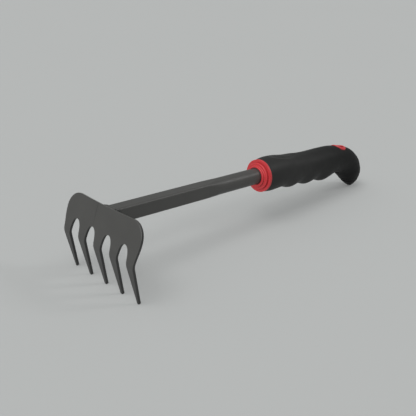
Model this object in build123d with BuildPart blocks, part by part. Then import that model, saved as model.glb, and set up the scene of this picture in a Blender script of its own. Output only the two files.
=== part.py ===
"""Hand rake: a five-tine pressed steel head welded to a tube, with a two-component moulded handle.

Millimetres. +Z up and +X from the head to the handle. The rake stands on its tine tips and on the
hook of its handle, and the origin is on the ground below the middle of its bounding box.
"""
from build123d import *
from math import cos, pi, radians, sin, tan
import os

# Head: one piece of sheet with five tines, bent across the roots of the tines
SHEET = 2.2
HEAD_WIDTH = 91.6
BEND_X = -158.2          # front corner of the bend, before it is rounded
BEND_HEIGHT = 32.4
BEND_RADIUS = 10.5       # on the front of the sheet
PLATE_LENGTH = 31.4      # from the bend to the top edge
PLATE_LEAN = 21.0        # degrees from upright, towards the handle
TINE_LEAN = 10.5         # degrees from upright, tips towards the handle
SHOULDER_RADIUS = 13.0
TOP_DIP = 0.6            # how far the top edge sinks at its middle
TINE_PITCH = 20.0
TIP_HALF_WIDTH = 1.15
TIP_ROUND = 0.65
ROOT_HALF_WIDTH = 4.5
ROOT_HEIGHT = 35.0       # where the slots begin to close
SLOT_HEIGHT = 43.8
WIDEST_HEIGHT = 47.8      # where the sides reach the full width
OUTER_TINE_INSET = 0.5   # the outer tines lean in by this much
EDGE_ROUND = 0.45

# Shaft: round tube, pressed square over its front part
TUBE_DIAMETER = 14.0
TUBE_WALL = 1.5
BORE_DIAMETER = TUBE_DIAMETER - 2 * TUBE_WALL
SQUARE_SIDE = 12.0
SQUARE_CORNER = 1.9
SQUARE_BORE_CORNER = 0.6
SHAFT_SEAT = 23.5        # tube axis above the bend, along the back of the plate
SHAFT_DROP = 3.2         # degrees that the tube falls towards the handle
SQUARE_END = 95.2        # distances along the tube from the plate
ROUND_START = 111.2
GRIP_START = 160.9
TUBE_LENGTH = 223.2
KEY_HOLE_DIAMETER = 5.0
KEY_HOLE_TO_END = 9.0
WELD_LEG = 3.2
WELD_TOE = 0.3           # the bead's thickness where it ends on the tube

# Handle: distances along the tube's axis from the front of the grip, heights from that axis
HANDLE_DROP = 0.5        # the collar's centre below the tube's axis
COLLAR_RADIUS = 14.3
COLLAR_STEPS = ((-6.2, 9.3), (-4.1, 11.8), (-2.0, COLLAR_RADIUS))
COLLAR_EDGE_ROUND = 0.6
SHADOW_GAP = 0.5         # recess around the tube where it enters the collar
SHADOW_GAP_DEPTH = 2.0
GRIP_RUBBER = 2.2        # thickness over the core
CORE_PALM = 16.2         # the core's underside follows the grip no deeper than this
BODY_RIBS = (            # distance, back height, palm depth, half width
    (0.0, 13.8, 14.8, 14.2),
    (8.0, 14.9, 15.8, 14.9),
    (24.0, 14.5, 15.2, 14.8),
    (35.0, 13.1, 18.0, 14.4),
    (46.0, 11.7, 16.0, 14.1),
    (58.0, 10.9, 19.4, 13.9),
    (70.0, 10.8, 17.4, 13.8),
    (83.0, 11.1, 21.2, 13.5),
    (97.0, 10.4, 17.8, 13.0),
)
HOOK_RIBS = (            # point on the palm side, point on the back, half width
    ((106.2, -17.5), (115.2, 7.4), 12.5),
    ((110.4, -19.0), (128.4, 2.4), 12.1),
    ((114.3, -21.9), (140.0, -7.0), 11.6),
    ((118.6, -25.0), (145.4, -19.3), 10.7),
)
NOSE_RIBS = (            # height above the ground, middle X, half length, half width
    (6.8, 145.9, 9.6, 7.6),
    (2.5, 147.0, 5.4, 4.3),
    (0.5, 147.2, 2.8, 2.2),
    (0.0, 147.2, 1.6, 1.3),
)
NOSE_TILT = 1.3          # degrees that the nose's ribs rise towards the back
OVAL_POINTS = 8          # that each oval rib passes through
RIBS_PER_GAP = 3
HANG_HOLE_RADIUS = 4.6
HANG_HOLE_LAND = 0.8     # width of bare core around the hole's lower end
HANG_RING_RADIUS = 7.1
HANG_RING_STAND = 0.6    # how far the ring stands out of the handle's back
HANG_RING_ROUND = 0.5
HANG_HOLE_AT = 109.6
HANG_HOLE_LEAN = 10.0
PLUG_LENGTH = 8.0
PLUG_TO_END = 26.0
PLUG_POCKET_DIAMETER = 7.7
PLUG_POCKET_DEPTH = 4.8
SPARE = 2.0              # how far cutting shapes reach past what they cut

# Reference planes
bend = Vector(BEND_X, 0, BEND_HEIGHT)
plate_up = Vector(sin(radians(PLATE_LEAN)), 0, cos(radians(PLATE_LEAN)))
plate_back = Vector(cos(radians(PLATE_LEAN)), 0, -sin(radians(PLATE_LEAN)))
tine_down = Vector(sin(radians(TINE_LEAN)), 0, -cos(radians(TINE_LEAN)))
tube_axis = Vector(cos(radians(SHAFT_DROP)), 0, -sin(radians(SHAFT_DROP)))
tube_up = Vector(sin(radians(SHAFT_DROP)), 0, cos(radians(SHAFT_DROP)))
shaft_root = bend + plate_back * SHEET + plate_up * SHAFT_SEAT
front_plane = Plane(origin=bend, x_dir=(0, 1, 0), z_dir=plate_back)
seat_plane = Plane(origin=shaft_root, x_dir=(0, 1, 0), z_dir=plate_back)


def across_tube(distance):
    """Plane across the tube, seen along its axis: x to the left side, y up."""
    return Plane(origin=shaft_root + tube_axis * distance, x_dir=(0, 1, 0), z_dir=tube_axis)


def on_side(distance, height):
    """Point on the middle plane, by distance from the grip's front and height from the axis."""
    return shaft_root + tube_axis * (GRIP_START + distance) + tube_up * height


def rib_plane(low, high):
    """Plane of the rib that joins two points of the handle's side view."""
    up = (high - low).normalized()
    return Plane(origin=(low + high) * 0.5, x_dir=(0, 1, 0), z_dir=Vector(0, 1, 0).cross(up))


def body_rib(distance, back, palm, half_width, inset=0.0):
    """Low point, high point and half width of one rib of the straight part."""
    return on_side(distance, inset - palm), on_side(distance, back - inset), half_width - inset


def hook_rib(palm_point, back_point, half_width, inset=0.0):
    """The same for a rib of the hook, between two points of the side view."""
    low = on_side(*palm_point)
    high = on_side(*back_point)
    step_in = (high - low).normalized() * inset
    return low + step_in, high - step_in, half_width - inset


def nose_rib(height, middle, half_length, half_width):
    """The same for a rib of the hook's nose, which tapers to a small foot on the ground."""
    low = Vector(middle - half_length, 0, height)
    high = Vector(middle + half_length, 0, height + 2 * half_length * tan(radians(NOSE_TILT)))
    return low, high, half_width


def sharp_edges(part):
    """Edges where two faces meet at more than half a right angle."""
    def is_sharp(edge):
        middle = edge @ 0.5
        normals = [face.normal_at(middle) for face in part.faces() if edge in face.edges()]
        return len(normals) == 2 and normals[0].get_angle(normals[1]) > 45
    return part.edges().filter_by(is_sharp)


def key_hole_plane():
    """Plane along the tube's middle, centred on the key holes."""
    centre = shaft_root + tube_axis * (TUBE_LENGTH - KEY_HOLE_TO_END)
    return Plane(origin=centre, x_dir=tube_axis, z_dir=(0, 1, 0))


def make_rake_head():
    """Bent sheet with the slots cut, the tines tapered, the shoulders rounded and no sharp edges."""
    lean = radians(TINE_LEAN)
    rounded_off = TIP_ROUND * (cos(lean) + sin(lean) - 1)
    tip = bend + tine_down * ((BEND_HEIGHT + rounded_off) / cos(lean))
    top = bend + plate_up * PLATE_LENGTH
    half_width = HEAD_WIDTH / 2
    taper = (ROOT_HALF_WIDTH - TIP_HALF_WIDTH) / ROOT_HEIGHT
    below = -2 * SPARE
    half_width_below = TIP_HALF_WIDTH + taper * below
    outer_tine = 2 * TINE_PITCH - OUTER_TINE_INSET
    root_reach = outer_tine + ROOT_HALF_WIDTH
    gap_below = TINE_PITCH / 2 - half_width_below
    gap_at_root = TINE_PITCH / 2 - ROOT_HALF_WIDTH
    with BuildPart() as head:
        with BuildSketch(Plane.XZ):
            with BuildLine():
                FilletPolyline((tip.X, tip.Z), (bend.X, bend.Z), (top.X, top.Z), radius=BEND_RADIUS)
                offset(amount=SHEET, side=Side.RIGHT)
            make_face()
        extrude(amount=half_width, both=True)
        with BuildSketch(Plane.YZ.offset(BEND_X)):
            for side in (1, -1):
                with BuildLine():
                    Spline(
                        (side * root_reach, ROOT_HEIGHT),
                        (side * half_width, WIDEST_HEIGHT),
                        tangents=((side * taper, 1), (0, 1)),
                    )
                    Polyline(
                        (side * half_width, WIDEST_HEIGHT),
                        (side * (half_width + SPARE), WIDEST_HEIGHT),
                        (side * (half_width + SPARE), below),
                        (side * (outer_tine + half_width_below), below),
                        (side * root_reach, ROOT_HEIGHT),
                    )
                make_face()
            for slot in (-1.5, -0.5, 0.5, 1.5):
                middle = slot * TINE_PITCH
                with BuildLine():
                    Polyline(
                        (middle - gap_at_root, ROOT_HEIGHT),
                        (middle - gap_below, below),
                        (middle + gap_below, below),
                        (middle + gap_at_root, ROOT_HEIGHT),
                    )
                    Spline(
                        (middle - gap_at_root, ROOT_HEIGHT),
                        (middle, SLOT_HEIGHT),
                        (middle + gap_at_root, ROOT_HEIGHT),
                        tangents=((taper, 1), (taper, -1)),
                    )
                make_face()
        extrude(amount=half_width, both=True, mode=Mode.SUBTRACT)
        with BuildSketch(front_plane):
            with BuildLine():
                shoulder = PLATE_LENGTH - SHOULDER_RADIUS
                crown = half_width - SHOULDER_RADIUS
                Line((half_width, shoulder), (half_width, PLATE_LENGTH + SPARE))
                Line((half_width, PLATE_LENGTH + SPARE), (-half_width, PLATE_LENGTH + SPARE))
                Line((-half_width, PLATE_LENGTH + SPARE), (-half_width, shoulder))
                RadiusArc((half_width, shoulder), (crown, PLATE_LENGTH), -SHOULDER_RADIUS)
                ThreePointArc((crown, PLATE_LENGTH), (0, PLATE_LENGTH - TOP_DIP), (-crown, PLATE_LENGTH))
                RadiusArc((-crown, PLATE_LENGTH), (-half_width, shoulder), -SHOULDER_RADIUS)
            make_face()
        extrude(amount=2 * SHEET, both=True, mode=Mode.SUBTRACT)
        low_edges = head.edges().filter_by(lambda edge: edge.center().Z < SPARE)
        fillet(low_edges.filter_by(lambda edge: edge.length > SHEET - TIP_ROUND), radius=TIP_ROUND)
        fillet(sharp_edges(head), radius=EDGE_ROUND)
    return head


def make_shaft_tube():
    """Round tube pressed square in front, seated on the plate, with key holes near its rear end."""
    def section(plane, side, corner):
        with BuildSketch(plane) as profile:
            RectangleRounded(side, side, corner)
        return profile.sketch

    def bar(side, corner, diameter):
        nearly_half = 0.499
        with BuildPart() as rod:
            extrude(section(across_tube(-2 * SHEET), side, corner), amount=SQUARE_END + 2 * SHEET)
            loft([
                section(across_tube(SQUARE_END), side, corner),
                section(across_tube(ROUND_START), diameter, nearly_half * diameter),
            ])
            with BuildSketch(across_tube(ROUND_START)):
                Circle(diameter / 2)
            extrude(amount=TUBE_LENGTH - ROUND_START)
            split(bisect_by=seat_plane, keep=Keep.TOP)
        return rod.part

    with BuildPart() as tube:
        add(bar(SQUARE_SIDE, SQUARE_CORNER, TUBE_DIAMETER))
        add(bar(SQUARE_SIDE - 2 * TUBE_WALL, SQUARE_BORE_CORNER, BORE_DIAMETER), mode=Mode.SUBTRACT)
        with BuildSketch(key_hole_plane()):
            Circle(KEY_HOLE_DIAMETER / 2)
        extrude(amount=TUBE_DIAMETER, both=True, mode=Mode.SUBTRACT)
    return tube


def make_weld_bead():
    """Fillet weld around the tube's mouth, from the back of the plate up the tube's four sides."""
    slant = tan(radians(PLATE_LEAN - SHAFT_DROP))
    tube_height = SQUARE_SIDE * (1 + slant ** 2) ** 0.5
    head_room = PLATE_LENGTH - TOP_DIP - EDGE_ROUND - SHAFT_SEAT
    foot = tube_height / 2 + WELD_LEG
    with BuildPart() as bead:
        with BuildSketch(seat_plane):
            with Locations((0, (head_room - foot) / 2)):
                RectangleRounded(SQUARE_SIDE + 2 * WELD_LEG, head_room + foot, WELD_LEG)
        with BuildSketch(seat_plane.offset(WELD_LEG)):
            with Locations((0, slant * WELD_LEG)):
                RectangleRounded(
                    SQUARE_SIDE + 2 * WELD_TOE,
                    tube_height + 2 * WELD_TOE,
                    SQUARE_CORNER + WELD_TOE,
                )
        loft()
        with BuildSketch(across_tube(-SHEET)):
            RectangleRounded(SQUARE_SIDE, SQUARE_SIDE, SQUARE_CORNER)
        extrude(amount=SQUARE_END, mode=Mode.SUBTRACT)
    return bead


def make_tube_plug():
    """Plug inside the tube that stops the handle's plastic during moulding."""
    with BuildPart() as plug:
        with BuildSketch(across_tube(TUBE_LENGTH - PLUG_TO_END - PLUG_LENGTH)):
            Circle(BORE_DIAMETER / 2)
        extrude(amount=PLUG_LENGTH)
        with BuildSketch(across_tube(TUBE_LENGTH - PLUG_TO_END - PLUG_LENGTH)):
            Circle(PLUG_POCKET_DIAMETER / 2)
        extrude(amount=PLUG_POCKET_DEPTH, mode=Mode.SUBTRACT)
    return plug


def between(before, start, end, after, way):
    """Point or number part way from start to end, on a smooth curve through all four."""
    linear = (end - before) * way
    square = (before * 2 - start * 5 + end * 4 - after) * way ** 2
    cubic = (start * 3 - before - end * 3 + after) * way ** 3
    return (start * 2 + linear + square + cubic) * 0.5


def closer_ribs(ribs):
    """The given ribs, with more ribs between them on smooth curves."""
    padded = [ribs[0]] + ribs + [ribs[-1]]
    closer = []
    for index in range(len(ribs) - 1):
        for step in range(RIBS_PER_GAP):
            neighbours = zip(*padded[index:index + 4])
            closer.append(tuple(between(*four, step / RIBS_PER_GAP) for four in neighbours))
    return closer + [ribs[-1]]


def rib_section(low, high, half_width):
    """Oval sketch on the plane of a rib."""
    half_height = (high - low).length / 2
    turns = [2 * pi * step / OVAL_POINTS for step in range(OVAL_POINTS)]
    with BuildSketch(rib_plane(low, high)) as oval:
        with BuildLine():
            Spline([(half_width * cos(turn), half_height * sin(turn)) for turn in turns], periodic=True)
        make_face()
    return oval.sketch


def lofted(ribs):
    """Smooth solid through oval ribs, lofted as a straight part and a hooked part that share a rib."""
    sections = [rib_section(*rib) for rib in ribs]
    shared = (len(BODY_RIBS) + 1) * RIBS_PER_GAP
    with BuildPart() as solid:
        loft(sections[:shared + 1])
        loft(sections[shared:])
    return solid.part


def grip_outline():
    """Outside of the handle, with its finger grooves and hooked end."""
    ribs = [body_rib(*rib) for rib in BODY_RIBS]
    ribs += [hook_rib(*rib) for rib in HOOK_RIBS]
    ribs += [nose_rib(*rib) for rib in NOSE_RIBS]
    return lofted(closer_ribs(ribs))


def core_outline(inset):
    """The same set in, above the finger grooves and as far as the root of the hook."""
    ribs = []
    for distance, back, palm, half_width in BODY_RIBS:
        ribs.append(body_rib(distance, back, min(palm, CORE_PALM), half_width, inset=inset))
    ribs += [hook_rib(*rib, inset=inset) for rib in HOOK_RIBS]
    return lofted(closer_ribs(ribs))


def hang_plane():
    """Plane across the hanging hole, at the height of the tube's axis."""
    lean = SHAFT_DROP + HANG_HOLE_LEAN
    up = Vector(sin(radians(lean)), 0, cos(radians(lean)))
    return Plane(origin=on_side(HANG_HOLE_AT, 0), x_dir=(0, 1, 0), z_dir=up)


def make_hang_ring():
    """Rounded ring around the hanging hole, which follows the curve of the handle's back."""
    with BuildPart() as ring:
        with BuildSketch(hang_plane()):
            Circle(HANG_RING_RADIUS)
            Circle(HANG_HOLE_RADIUS, mode=Mode.SUBTRACT)
        extrude(amount=2 * COLLAR_RADIUS)
        add(core_outline(inset=-HANG_RING_STAND), mode=Mode.INTERSECT)
        fillet(ring.faces().sort_by(Axis.Z)[-1].edges(), radius=HANG_RING_ROUND)
    return ring.part


def make_handle_core(core, ring):
    """Hard core: stepped collar, body around and inside the tube's end, ring at the hanging hole."""
    smallest_step = COLLAR_STEPS[0][1]
    with BuildPart() as handle_core:
        add(core)
        for start, radius in COLLAR_STEPS:
            with BuildSketch(across_tube(GRIP_START + start)):
                with Locations((0, -HANDLE_DROP)):
                    Circle(radius)
            extrude(amount=-start)
        rims = handle_core.edges().filter_by(GeomType.CIRCLE).sort_by(Axis.X)
        front_rims = rims.filter_by(lambda rim: rim.radius >= smallest_step)[:len(COLLAR_STEPS)]
        fillet(front_rims, radius=COLLAR_EDGE_ROUND)
        add(ring)
        with BuildSketch(hang_plane()):
            Circle(HANG_HOLE_RADIUS)
        extrude(amount=3 * COLLAR_RADIUS, both=True, mode=Mode.SUBTRACT)
        with BuildSketch(across_tube(0)):
            Circle(TUBE_DIAMETER / 2)
        extrude(amount=TUBE_LENGTH, mode=Mode.SUBTRACT)
        with BuildSketch(across_tube(GRIP_START + COLLAR_STEPS[0][0])):
            Circle(TUBE_DIAMETER / 2 + SHADOW_GAP)
        extrude(amount=SHADOW_GAP_DEPTH, mode=Mode.SUBTRACT)
        with BuildSketch(across_tube(TUBE_LENGTH - PLUG_TO_END)):
            Circle(BORE_DIAMETER / 2)
        extrude(amount=PLUG_TO_END)
        with BuildSketch(key_hole_plane()):
            Circle(KEY_HOLE_DIAMETER / 2)
        extrude(amount=TUBE_DIAMETER / 2, both=True)
    return handle_core


def make_soft_grip(outline, core):
    """Rubber moulded over the core, open at the collar, the hanging ring and the hole's lower end."""
    with BuildPart() as grip:
        add(outline)
        add(core, mode=Mode.SUBTRACT)
        with BuildSketch(hang_plane()):
            Circle(HANG_RING_RADIUS)
        extrude(amount=2 * COLLAR_RADIUS, mode=Mode.SUBTRACT)
        with BuildSketch(hang_plane()):
            Circle(HANG_HOLE_RADIUS + HANG_HOLE_LAND)
        extrude(amount=-2 * COLLAR_RADIUS, mode=Mode.SUBTRACT)
    return grip


outline = grip_outline()
core = core_outline(inset=GRIP_RUBBER)
os.makedirs("parts", exist_ok=True)

rake_head = make_rake_head()
rake_head.part.label = "rake_head"
export_step(rake_head.part, "parts/rake_head.step")

weld_bead = make_weld_bead()
weld_bead.part.label = "weld_bead"
export_step(weld_bead.part, "parts/weld_bead.step")

shaft_tube = make_shaft_tube()
shaft_tube.part.label = "shaft_tube"
export_step(shaft_tube.part, "parts/shaft_tube.step")

tube_plug = make_tube_plug()
tube_plug.part.label = "tube_plug"
export_step(tube_plug.part, "parts/tube_plug.step")

handle_core = make_handle_core(core, make_hang_ring())
handle_core.part.label = "handle_core"
export_step(handle_core.part, "parts/handle_core.step")

soft_grip = make_soft_grip(outline, core)
soft_grip.part.label = "soft_grip"
export_step(soft_grip.part, "parts/soft_grip.step")
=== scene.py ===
"""Hand rake in a plain studio: black painted steel, a red moulded collar and a soft black grip."""

from math import atan2, cos, pi, radians, sin

import bmesh
import bpy
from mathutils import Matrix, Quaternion, Vector, noise
from mathutils.bvhtree import BVHTree


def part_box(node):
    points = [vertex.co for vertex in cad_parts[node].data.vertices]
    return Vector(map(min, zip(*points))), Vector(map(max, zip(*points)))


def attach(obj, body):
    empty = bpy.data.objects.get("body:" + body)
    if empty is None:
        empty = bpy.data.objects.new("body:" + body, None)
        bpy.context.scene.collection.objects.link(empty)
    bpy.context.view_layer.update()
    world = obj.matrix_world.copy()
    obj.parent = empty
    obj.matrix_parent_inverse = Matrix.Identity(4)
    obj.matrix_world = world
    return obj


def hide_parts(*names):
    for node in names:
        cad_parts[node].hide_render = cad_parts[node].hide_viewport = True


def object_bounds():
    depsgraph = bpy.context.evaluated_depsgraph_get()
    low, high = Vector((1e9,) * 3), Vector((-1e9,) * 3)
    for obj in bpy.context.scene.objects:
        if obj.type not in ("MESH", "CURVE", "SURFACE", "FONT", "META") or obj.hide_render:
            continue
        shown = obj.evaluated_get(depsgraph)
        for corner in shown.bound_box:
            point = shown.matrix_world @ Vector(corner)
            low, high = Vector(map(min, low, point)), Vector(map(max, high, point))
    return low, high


MM = 0.001

# Camera, at the photograph's viewing angle
CAMERA_TURN = 47.55        # degrees from straight in front of the head, towards -Y
CAMERA_RISE = 23.08        # degrees above the floor
CAMERA_ROLL = -0.31        # degrees about its own axis
CAMERA_DISTANCE = 547.3 * MM
CAMERA_LENS = 57.63        # millimetres on a 36 mm sensor
AIM_ALONG = -0.1532        # of the length, from the middle of the object towards the head
AIM_UP = 0.506             # of the height

# Light and floor
BACKDROP = (0.447, 0.456, 0.452)   # what the camera sees behind the floor
HORIZON = (0.300, 0.306, 0.303)    # what lights the object from low down
ZENITH = (0.44, 0.449, 0.446)      # and from overhead
HORIZON_END = 0.42         # sines of the heights between which the surroundings brighten
ZENITH_START = 0.72
FLOOR_SIZE = 12.0          # metres

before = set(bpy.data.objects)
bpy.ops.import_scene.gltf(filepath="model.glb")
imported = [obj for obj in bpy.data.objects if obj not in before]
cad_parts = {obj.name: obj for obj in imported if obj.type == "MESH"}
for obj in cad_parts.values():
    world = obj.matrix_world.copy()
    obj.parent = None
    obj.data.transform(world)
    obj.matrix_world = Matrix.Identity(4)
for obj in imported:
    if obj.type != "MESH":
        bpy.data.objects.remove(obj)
cad_low, cad_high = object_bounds()
middle = (cad_low + cad_high) / 2
size = cad_high - cad_low


# Materials: colours are linear red, green and blue

PAINT_DARK = (0.043, 0.0425, 0.0405)
PAINT_LIGHT = (0.055, 0.0545, 0.0515)
PAINT_SHADE_AND_MARK = (0.024, 0.024, 0.0235)      # painted shade on the tines' tips and the cut edges, and the colour of the faint mark
PAINT_RUBBED = (0.11, 0.11, 0.108)
RED_DARK = (0.43, 0.026, 0.032)
RED_LIGHT = (0.50, 0.036, 0.042)
# painted shade in the red plastic's gaps and hollows, and how far it reaches
RED_IN_PAINTED_SHADE = (0.10, 0.003, 0.004)
GAP_SHADE_REACH = 14 * MM
# painted light over the grip's palm and painted shade on its hook
RUBBER_PALM_LIT = (0.0160, 0.0160, 0.0156)
RUBBER_HOOK_SHADED = (0.0050, 0.0054, 0.0054)
PALM_LIGHT_FADES = 0.25                       # of the grip's length, behind its front edge
PALM_LIGHT_GONE = 0.12                        # of the grip's length, before its rear end
PLUG_DARK = (0.50, 0.49, 0.46)
PLUG_LIGHT = (0.58, 0.57, 0.54)
PAPER_DARK = (0.397, 0.405, 0.402)
PAPER_LIGHT = (0.401, 0.409, 0.406)
TINE_SHADE_FROM = cad_low.z + 38 * MM  # painted shade darkens the tines from here down
TINE_SHADE_DARKEST_AT = cad_low.z + 8 * MM    # to here
HEAD_END = cad_low.x + 19 * MM           # the plate and its tines lie in front of this
MARK_Y = 9.5 * MM                        # faint upright mark on the plate
MARK_WIDTH = 0.9 * MM                    # to each side
MARK_STRENGTH = 0.6                      # 1 would be as dark as the tines' tips
MARK_FOOT = cad_low.z + 44 * MM
MARK_FADE = 8 * MM                       # above the foot, where it comes in


class Shader:
    """A material's nodes, with short ways to make the ones used here."""

    def __init__(self, name):
        self.material = bpy.data.materials.new(name)
        self.material.use_nodes = True
        self.nodes = self.material.node_tree.nodes
        self.links = self.material.node_tree.links
        self.bsdf = self.nodes["Principled BSDF"]
        coordinates = self.nodes.new("ShaderNodeTexCoord")
        self.place = coordinates.outputs["Object"]
        self.normal = coordinates.outputs["Normal"]

    def set(self, **values):
        """Fixed values on the surface, such as set(Metallic=0.0)."""
        for name, value in values.items():
            self.bsdf.inputs[name.replace("_", " ")].default_value = value

    def feed(self, output, name):
        """Drives one of the surface's inputs with a node's output."""
        self.links.new(output, self.bsdf.inputs[name])

    def noise(self, feature, detail=2.0, stretch=(1.0, 1.0, 1.0)):
        """Noise between 0 and 1 whose features are about this many metres across."""
        mapping = self.nodes.new("ShaderNodeMapping")
        mapping.inputs["Scale"].default_value = stretch
        self.links.new(self.place, mapping.inputs["Vector"])
        texture = self.nodes.new("ShaderNodeTexNoise")
        texture.inputs["Scale"].default_value = 1 / feature
        texture.inputs["Detail"].default_value = detail
        self.links.new(mapping.outputs["Vector"], texture.inputs["Vector"])
        return texture.outputs["Fac"]

    def range(self, value, low, high, start=0.0, end=1.0):
        """Turns a value that runs from start to end into one from low to high, held at its ends."""
        node = self.nodes.new("ShaderNodeMapRange")
        self.links.new(value, node.inputs["Value"])
        node.inputs["From Min"].default_value = start
        node.inputs["From Max"].default_value = end
        node.inputs["To Min"].default_value = low
        node.inputs["To Max"].default_value = high
        return node.outputs["Result"]

    def coordinate(self, axis):
        """X, Y or Z of the shaded point, in metres."""
        parts = self.nodes.new("ShaderNodeSeparateXYZ")
        self.links.new(self.place, parts.inputs["Vector"])
        return parts.outputs[axis]

    def along(self, axis, start, end):
        """0 to 1 between two places along an axis of the object, and held beyond them."""
        return self.range(self.coordinate(axis), 0.0, 1.0, start=start, end=end)

    def maths(self, kind, first, second):
        """Result of a math node whose two inputs are numbers or other nodes' outputs."""
        node = self.nodes.new("ShaderNodeMath")
        node.operation = kind
        for socket, value in zip(node.inputs, (first, second)):
            if isinstance(value, (int, float)):
                socket.default_value = value
            else:
                self.links.new(value, socket)
        return node.outputs["Value"]

    def mix(self, factor, first, second):
        """Blend of two colours, each a tuple or another node's output."""
        node = self.nodes.new("ShaderNodeMix")
        node.data_type = "RGBA"
        self.links.new(factor, node.inputs["Factor"])
        for socket, colour in ((node.inputs["A"], first), (node.inputs["B"], second)):
            sockets = [s for s in node.inputs if s.name == socket.name and s.type == "RGBA"]
            if isinstance(colour, tuple):
                sockets[0].default_value = (*colour, 1.0)
            else:
                self.links.new(colour, sockets[0])
        return [s for s in node.outputs if s.type == "RGBA"][0]

    def worn_edges(self, radius):
        """1 on edges that turn within the radius, 0 on open faces."""
        rounded = self.nodes.new("ShaderNodeBevel")
        rounded.samples = 4
        rounded.inputs["Radius"].default_value = radius
        geometry = self.nodes.new("ShaderNodeNewGeometry")
        dot = self.nodes.new("ShaderNodeVectorMath")
        dot.operation = "DOT_PRODUCT"
        self.links.new(rounded.outputs["Normal"], dot.inputs[0])
        self.links.new(geometry.outputs["Normal"], dot.inputs[1])
        return self.range(dot.outputs["Value"], 1.0, 0.0, start=0.80, end=0.99)

    def sideways(self):
        """1 where the surface faces along Y, either way, 0 where it is 60 degrees or more off."""
        parts = self.nodes.new("ShaderNodeSeparateXYZ")
        self.links.new(self.normal, parts.inputs["Vector"])
        facing = self.maths("ABSOLUTE", parts.outputs["Y"], 0.0)
        return self.range(facing, 0.0, 1.0, start=0.5, end=0.85)

    def crevices(self, reach):
        """0 deep in gaps narrower than the reach, 1 on open faces."""
        node = self.nodes.new("ShaderNodeAmbientOcclusion")
        node.samples = 8
        node.inputs["Distance"].default_value = reach
        return node.outputs["AO"]

    def bump(self, height, depth, before=None):
        """Feeds small relief of this depth in metres to the surface, over any earlier relief."""
        node = self.nodes.new("ShaderNodeBump")
        node.inputs["Distance"].default_value = depth
        self.links.new(height, node.inputs["Height"])
        if before is not None:
            self.links.new(before, node.inputs["Normal"])
        self.feed(node.outputs["Normal"], "Normal")
        return node.outputs["Normal"]


def painted_steel():
    """Satin black paint: fine orange peel, uneven colour and gloss, with painted shade darkening the
    tines and cut edges.
    """
    paint = Shader("painted_steel")
    patches = paint.noise(18 * MM, detail=3.0)
    clean = paint.mix(patches, PAINT_DARK, PAINT_LIGHT)
    # Painted shade: the paint gets darker down the tines, which face downward
    tines = paint.along("Z", TINE_SHADE_FROM, TINE_SHADE_DARKEST_AT)
    on_head = paint.along("X", HEAD_END + 1 * MM, HEAD_END - 1 * MM)
    # Painted shade on the cut edges of the plate and tines, where they face along Y
    cut_edge_shade = paint.maths("MULTIPLY", paint.sideways(), on_head)
    # Painted shade on the tines and cut edges, with the faint mark, darkens the paint
    shade_and_mark = paint.maths("MAXIMUM", paint.maths("MAXIMUM", tines, plate_mark(paint)), cut_edge_shade)
    body = paint.mix(shade_and_mark, clean, PAINT_SHADE_AND_MARK)
    rubbed = paint.maths("MULTIPLY", paint.worn_edges(0.5 * MM), paint.noise(3 * MM, detail=4.0))
    paint.feed(paint.mix(rubbed, body, PAINT_RUBBED), "Base Color")
    paint.feed(paint.range(paint.noise(5 * MM, detail=4.0), 0.34, 0.48), "Roughness")
    peel = paint.bump(paint.noise(1.1 * MM, detail=1.0), 0.012 * MM)
    paint.bump(paint.noise(0.25 * MM, detail=2.0), 0.003 * MM, before=peel)
    return paint.material


def plate_mark(paint):
    """MARK_STRENGTH along the middle of a faint upright mark on the plate, 0 away from it."""
    aside = paint.maths("ABSOLUTE", paint.maths("SUBTRACT", paint.coordinate("Y"), MARK_Y), 0.0)
    across = paint.range(aside, MARK_STRENGTH, 0.0, start=0.0, end=MARK_WIDTH)
    upper = paint.along("Z", MARK_FOOT, MARK_FOOT + MARK_FADE)
    on_plate = paint.along("X", HEAD_END + 1 * MM, HEAD_END - 3 * MM)
    return paint.maths("MULTIPLY", paint.maths("MULTIPLY", across, upper), on_plate)


def red_plastic():
    """Moulded red plastic with a fine spark-eroded skin, with painted shade darkening it in gaps."""
    plastic = Shader("red_plastic")
    flow = plastic.noise(9 * MM, detail=2.0, stretch=(1.0, 0.4, 0.4))
    clean = plastic.mix(flow, RED_DARK, RED_LIGHT)
    # Painted shade darkens the red plastic in gaps and hollows
    unshaded_faces = plastic.range(plastic.crevices(GAP_SHADE_REACH), 0.0, 1.0, start=0.30, end=0.75)
    plastic.feed(plastic.mix(unshaded_faces, RED_IN_PAINTED_SHADE, clean), "Base Color")
    plastic.feed(plastic.range(plastic.noise(2 * MM, detail=3.0), 0.40, 0.56), "Roughness")
    plastic.set(Subsurface_Weight=0.05, Subsurface_Scale=0.6 * MM)
    plastic.bump(plastic.noise(0.3 * MM, detail=2.0), 0.008 * MM)
    return plastic.material


def grip_rubber():
    """Soft black rubber: fine matt grain, with painted light over the palm and painted shade on the
    hook, which is also less shiny.
    """
    rubber = Shader("grip_rubber")
    low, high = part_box("soft_grip")
    length = high.x - low.x
    # Painted light over the palm fades into painted shade towards the hook
    hook = rubber.along("X", low.x + PALM_LIGHT_FADES * length, high.x - PALM_LIGHT_GONE * length)
    hook_shade = rubber.maths("ADD", hook, rubber.range(rubber.noise(14 * MM, detail=4.0), -0.25, 0.25))
    rubber.feed(rubber.mix(hook_shade, RUBBER_PALM_LIT, RUBBER_HOOK_SHADED), "Base Color")
    rubber.feed(rubber.range(rubber.noise(4 * MM, detail=4.0), 0.44, 0.58), "Roughness")
    rubber.feed(rubber.range(hook, 0.28, 0.12), "Specular IOR Level")
    grain = rubber.bump(rubber.noise(0.35 * MM, detail=3.0), 0.020 * MM)
    rubber.bump(rubber.noise(1.6 * MM, detail=1.0), 0.020 * MM, before=grain)
    return rubber.material


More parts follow.
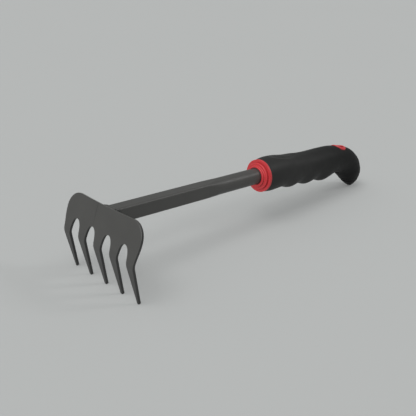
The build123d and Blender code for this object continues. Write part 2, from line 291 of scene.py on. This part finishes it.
def plug_plastic():
    """Plain unpainted plastic of the plug inside the tube."""
    plastic = Shader("plug_plastic")
    shade = plastic.noise(2 * MM, detail=2.0)
    plastic.feed(plastic.mix(shade, PLUG_DARK, PLUG_LIGHT), "Base Color")
    plastic.set(Roughness=0.6)
    return plastic.material


def floor_paper():
    """Matt pale studio paper."""
    paper = Shader("floor_paper")
    clouds = paper.noise(0.5, detail=1.0)
    shade = paper.mix(clouds, PAPER_DARK, PAPER_LIGHT)
    paper.feed(shade, "Base Color")
    paper.set(Roughness=0.95, Specular_IOR_Level=0.1)
    return paper.material


def dress(piece, material):
    """Gives a piece one material in place of any that it has."""
    piece.data.materials.clear()
    piece.data.materials.append(material)


# Mesh work

SAME_POINT = 0.002 * MM    # points closer than this are merged
HELD = 0.15 * MM           # points this close to a neighbouring piece aren't moved
FREE = 0.6 * MM            # and from here on they move in full

def copy_of(node, name):
    """New object with a copy of a CAD node's mesh, its doubled points merged."""
    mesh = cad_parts[node].data.copy()
    sheet = bmesh.new()
    sheet.from_mesh(mesh)
    bmesh.ops.remove_doubles(sheet, verts=sheet.verts, dist=SAME_POINT)
    sheet.to_mesh(mesh)
    sheet.free()
    piece = bpy.data.objects.new(name, mesh)
    bpy.context.scene.collection.objects.link(piece)
    return piece


def remesh(piece, voxel):
    """Rebuilds a closed mesh as even small quads."""
    modifier = piece.modifiers.new("remesh", "REMESH")
    modifier.mode = "VOXEL"
    modifier.voxel_size = voxel
    modifier.use_smooth_shade = True
    shape = piece.evaluated_get(bpy.context.evaluated_depsgraph_get())
    mesh = bpy.data.meshes.new_from_object(shape)
    piece.modifiers.clear()
    piece.data = mesh


def surface_of(node):
    """Search tree of a CAD node's surface."""
    return BVHTree.FromObject(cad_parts[node], bpy.context.evaluated_depsgraph_get())


def settle_on(piece, surface):
    """Moves every point of a remeshed piece back onto the surface that it came from."""
    for vertex in piece.data.vertices:
        vertex.co = surface.find_nearest(vertex.co)[0]


def smoothstep(start, end, value):
    """0 up to start, 1 from end, with an even ease between them."""
    way = min(max((value - start) / (end - start), 0.0), 1.0)
    return way * way * (3 - 2 * way)


def relax(piece, vertices, rounds):
    """Averages the chosen points with their neighbours, which rounds the edges among them."""
    mesh = bmesh.new()
    mesh.from_mesh(piece.data)
    mesh.verts.ensure_lookup_table()
    chosen = [mesh.verts[index] for index in vertices]
    for _ in range(rounds):
        bmesh.ops.smooth_vert(
            mesh, verts=chosen, factor=0.5, use_axis_x=True, use_axis_y=True, use_axis_z=True
        )
    mesh.to_mesh(piece.data)
    mesh.free()


def displace(piece, height, fixed):
    """Moves points along their normals by height(point), in metres, except near the fixed surfaces."""
    mesh = piece.data
    moves = []
    for vertex, normal in zip(mesh.vertices, mesh.vertex_normals):
        gap = min(surface.find_nearest(vertex.co)[3] for surface in fixed)
        moves.append(normal.vector * height(vertex.co) * smoothstep(HELD, FREE, gap))
    for vertex, move in zip(mesh.vertices, moves):
        vertex.co += move
    mesh.update()


# Soft grip

GRIP_VOXEL = 0.6 * MM
THUMB_AT = 29.0 * MM       # middle of the thumb rest, behind the grip's front edge
THUMB_LENGTH = 38.0 * MM
THUMB_WIDTH = 17.0 * MM
THUMB_DEPTH = 1.1 * MM
THUMB_FLOOR = 0.62         # share of its reach that is flat
GRIP_WAVES = 0.08 * MM     # slow unevenness of the moulded rubber
LONG_WAVES = 90            # per metre
SHORT_WAVES = 210
LIP_REACH = 0.9 * MM       # points this close to the core are on the rubber's lips
LIP_ROUNDS = 3


def thumb_rest(point, front):
    """Depth of the oval rest on the top of the grip, with a quick rim and a flat floor."""
    along = (point.x - front - THUMB_AT) / (THUMB_LENGTH / 2)
    across = point.y / (THUMB_WIDTH / 2)
    reach = (along ** 2 + across ** 2) ** 0.5
    return THUMB_DEPTH * (1 - smoothstep(THUMB_FLOOR, 1.0, reach))


def make_grip():
    """Rubber grip with a thumb rest, rounded lips and a slightly uneven moulded skin."""
    low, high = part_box("soft_grip")
    grip = copy_of("soft_grip", "grip")
    remesh(grip, GRIP_VOXEL)
    settle_on(grip, surface_of("soft_grip"))
    core = surface_of("handle_core")
    lips = [v.index for v in grip.data.vertices if core.find_nearest(v.co)[3] < LIP_REACH]
    relax(grip, lips, LIP_ROUNDS)

    def height(point):
        uneven = noise.noise(point * LONG_WAVES) + 0.5 * noise.noise(point * SHORT_WAVES)
        on_top = smoothstep(middle.z, middle.z + 12 * MM, point.z)
        return GRIP_WAVES * uneven - thumb_rest(point, low.x) * on_top

    displace(grip, height, [core])
    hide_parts("soft_grip")
    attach(grip, "root")
    return grip


# Weld

WELD_VOXEL = 0.3 * MM
WELD_RIPPLES = 16
WELD_RIPPLE_HEIGHT = 0.55 * MM
WELD_CURL = 0.5            # how far each ripple's middle runs ahead, in ripples
WELD_LUMPS = 400           # per metre


def make_weld():
    """Weld bead with the ripples that the moving pool leaves around the tube."""
    low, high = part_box("weld_bead")
    centre = (low + high) / 2
    weld = copy_of("weld_bead", "weld")
    remesh(weld, WELD_VOXEL)
    settle_on(weld, surface_of("weld_bead"))

    def height(point):
        around = atan2(point.z - centre.z, point.y) / (2 * pi) * WELD_RIPPLES
        up_the_bead = (point.x - low.x) / (high.x - low.x)
        ripple = abs(sin(pi * (around + WELD_CURL * cos(pi * (up_the_bead - 0.5)))))
        lumps = 0.5 * noise.noise(point * WELD_LUMPS)
        return WELD_RIPPLE_HEIGHT * (ripple + lumps - 0.5)

    displace(weld, height, [surface_of("rake_head"), surface_of("shaft_tube")])
    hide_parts("weld_bead")
    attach(weld, "root")
    return weld


# Studio

def add_light(name, place, spread, strength, shadow=True):
    """Far light from the direction of a place, as wide as spread in degrees."""
    lamp = bpy.data.lights.new(name, "SUN")
    lamp.use_shadow = shadow
    lamp.angle = radians(spread)
    lamp.energy = strength
    holder = bpy.data.objects.new(name, lamp)
    holder.rotation_mode = "QUATERNION"
    holder.rotation_quaternion = (-Vector(place)).to_track_quat("-Z", "Y")
    bpy.context.scene.collection.objects.link(holder)


def make_floor():
    """Wide pale floor under the object."""
    half = FLOOR_SIZE / 2
    mesh = bpy.data.meshes.new("floor")
    corners = [(-half, -half, 0), (half, -half, 0), (half, half, 0), (-half, half, 0)]
    mesh.from_pydata(corners, [], [(0, 1, 2, 3)])
    floor = bpy.data.objects.new("floor", mesh)
    floor.location.z = cad_low.z
    bpy.context.scene.collection.objects.link(floor)
    dress(floor, floor_paper())


def make_surroundings():
    """Soft light from all round, stronger overhead, with a backdrop as pale as the floor."""
    world = bpy.data.worlds.new("studio")
    world.use_nodes = True
    nodes = world.node_tree.nodes
    links = world.node_tree.links
    direction = nodes.new("ShaderNodeTexCoord").outputs["Generated"]
    parts = nodes.new("ShaderNodeSeparateXYZ")
    links.new(direction, parts.inputs["Vector"])
    height = nodes.new("ShaderNodeMapRange")
    height.interpolation_type = "SMOOTHSTEP"
    height.inputs["From Min"].default_value = HORIZON_END
    height.inputs["From Max"].default_value = ZENITH_START
    links.new(parts.outputs["Z"], height.inputs["Value"])
    shade = nodes.new("ShaderNodeMixRGB")
    shade.inputs["Color1"].default_value = (*HORIZON, 1.0)
    shade.inputs["Color2"].default_value = (*ZENITH, 1.0)
    links.new(height.outputs["Result"], shade.inputs["Fac"])
    seen = nodes.new("ShaderNodeMixRGB")
    seen.inputs["Color2"].default_value = (*BACKDROP, 1.0)
    links.new(shade.outputs["Color"], seen.inputs["Color1"])
    links.new(nodes.new("ShaderNodeLightPath").outputs["Is Camera Ray"], seen.inputs["Fac"])
    links.new(seen.outputs["Color"], nodes["Background"].inputs["Color"])
    bpy.context.scene.world = world


def make_studio():
    """A soft key above the head, a shadowless fill in front of it and a narrow light by the grip."""
    make_surroundings()
    add_light("key", place=(-0.36, -0.02, 0.93), spread=36, strength=0.85)
    add_light("fill", place=(-0.74, -0.20, 0.64), spread=40, strength=2.20, shadow=False)
    add_light("side", place=(0.62, -0.52, 0.587), spread=14, strength=0.38)
    bpy.context.scene.view_settings.view_transform = "Standard"


def make_camera():
    """Camera in front of the head, to the -Y side and above, aimed at a point near the middle."""
    turn = radians(CAMERA_TURN)
    rise = radians(CAMERA_RISE)
    back = Vector((-cos(rise) * cos(turn), -cos(rise) * sin(turn), sin(rise)))
    aim = Vector((middle.x + AIM_ALONG * size.x, middle.y, cad_low.z + AIM_UP * size.z))
    lens = bpy.data.cameras.new("camera")
    lens.lens = CAMERA_LENS
    lens.clip_start = 0.01
    camera = bpy.data.objects.new("camera", lens)
    camera.location = aim + back * CAMERA_DISTANCE
    camera.rotation_mode = "QUATERNION"
    roll = Quaternion((0, 0, 1), radians(CAMERA_ROLL))
    camera.rotation_quaternion = (-back).to_track_quat("-Z", "Y") @ roll
    bpy.context.scene.collection.objects.link(camera)
    bpy.context.scene.camera = camera


paint = painted_steel()
dress(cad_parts["rake_head"], paint)
dress(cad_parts["shaft_tube"], paint)
dress(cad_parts["handle_core"], red_plastic())
dress(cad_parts["tube_plug"], plug_plastic())
dress(make_grip(), grip_rubber())
dress(make_weld(), paint)
make_floor()
make_studio()
make_camera()
